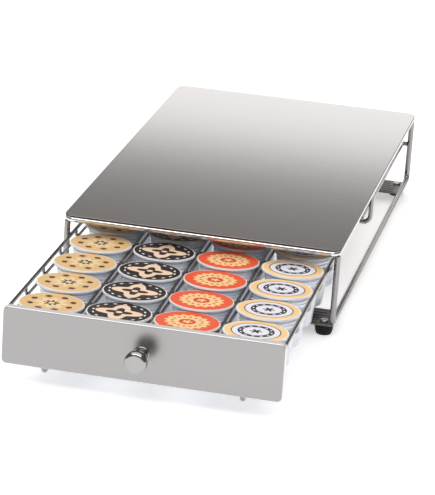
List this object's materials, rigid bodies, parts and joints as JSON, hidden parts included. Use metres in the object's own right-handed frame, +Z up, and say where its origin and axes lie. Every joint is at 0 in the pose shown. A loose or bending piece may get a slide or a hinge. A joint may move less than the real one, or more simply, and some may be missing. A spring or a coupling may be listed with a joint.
{
  "type": "coffee pod drawer",
  "caption": "Low brushed-steel deck on a bent-wire frame with rubber feet; a wire basket drawer slides out from under it and holds coffee pods hung by their rims.",
  "frame": {"origin": "centre of the footprint of the frame and the partly open drawer, on the worktop", "axes": "+Z up, +Y from the drawer's front panel to the back of the frame, +X to the right seen from the front"},
  "size_m": [0.23, 0.629, 0.077],
  "materials": {
    "deck_sheet": "fine straight brushing, satin nickel plate",
    "frame_rod": "satin nickel plate on drawn rod",
    "foot_strip": "satin nickel plate on pressed sheet",
    "foot_rubber": "moulded, matt",
    "rivet_steel": "bright headed rivet",
    "glide_nylon": "moulded nylon, satin",
    "panel_sheet": "fine straight brushing along its length",
    "knob_chrome": "polished plate on a turned knob",
    "screw_steel": "bright zinc plate",
    "basket_wire": "satin nickel plate on drawn wire",
    "pod_cup": "thin moulded cup, ribbed, slightly translucent",
    "pod_lid_tan": "printed sealed foil, satin",
    "pod_lid_dark": "printed sealed foil, satin",
    "pod_lid_orange": "printed sealed foil, satin",
    "pod_lid_cream": "printed sealed foil, satin",
    "coffee": "ground coffee"
  },
  "bodies": {
    "frame": {"top_deck": "deck_sheet", "top_rim_rod": "frame_rod", "side_rod_left": "frame_rod", "side_rod_right": "frame_rod", "front_foot_strip": "foot_strip", "back_foot_strip": "foot_strip", "foot_front_left": "foot_rubber", "foot_front_right": "foot_rubber", "foot_back_left": "foot_rubber", "foot_back_right": "foot_rubber", "foot_rivets": "rivet_steel", "front_glides": "glide_nylon", "back_glides": "glide_nylon", "stirrup_left": "frame_rod", "stirrup_right": "frame_rod", "guide_rail_left": "frame_rod", "guide_rail_right": "frame_rod", "back_cross_rod": "frame_rod", "stop_rod": "frame_rod"},
    "drawer": {"front_panel": "panel_sheet", "knob": "knob_chrome", "knob_screw": "screw_steel", "knob_washer": "screw_steel", "basket_rim": "basket_wire", "pod_rails_1": "basket_wire", "pod_rails_2": "basket_wire", "pod_rails_3": "basket_wire", "pod_rails_4": "basket_wire", "cross_wires": "basket_wire", "cradle_wires": "basket_wire", "runner_left": "basket_wire", "runner_right": "basket_wire", "back_hoop": "basket_wire", "support_wire": "basket_wire", "pod_cups_1": "pod_cup", "pod_cups_2": "pod_cup", "pod_cups_3": "pod_cup", "pod_cups_4": "pod_cup", "pod_lids_1": "pod_lid_tan", "pod_lids_2": "pod_lid_dark", "pod_lids_3": "pod_lid_orange", "pod_lids_4": "pod_lid_cream", "ground_coffee": "coffee"}
  },
  "joints": [
    {"name": "drawer_slide", "type": "slide", "parent": "frame", "child": "drawer", "axis": [0, -1, 0], "range_m": [-0.19, 0.1747]}
  ]
}
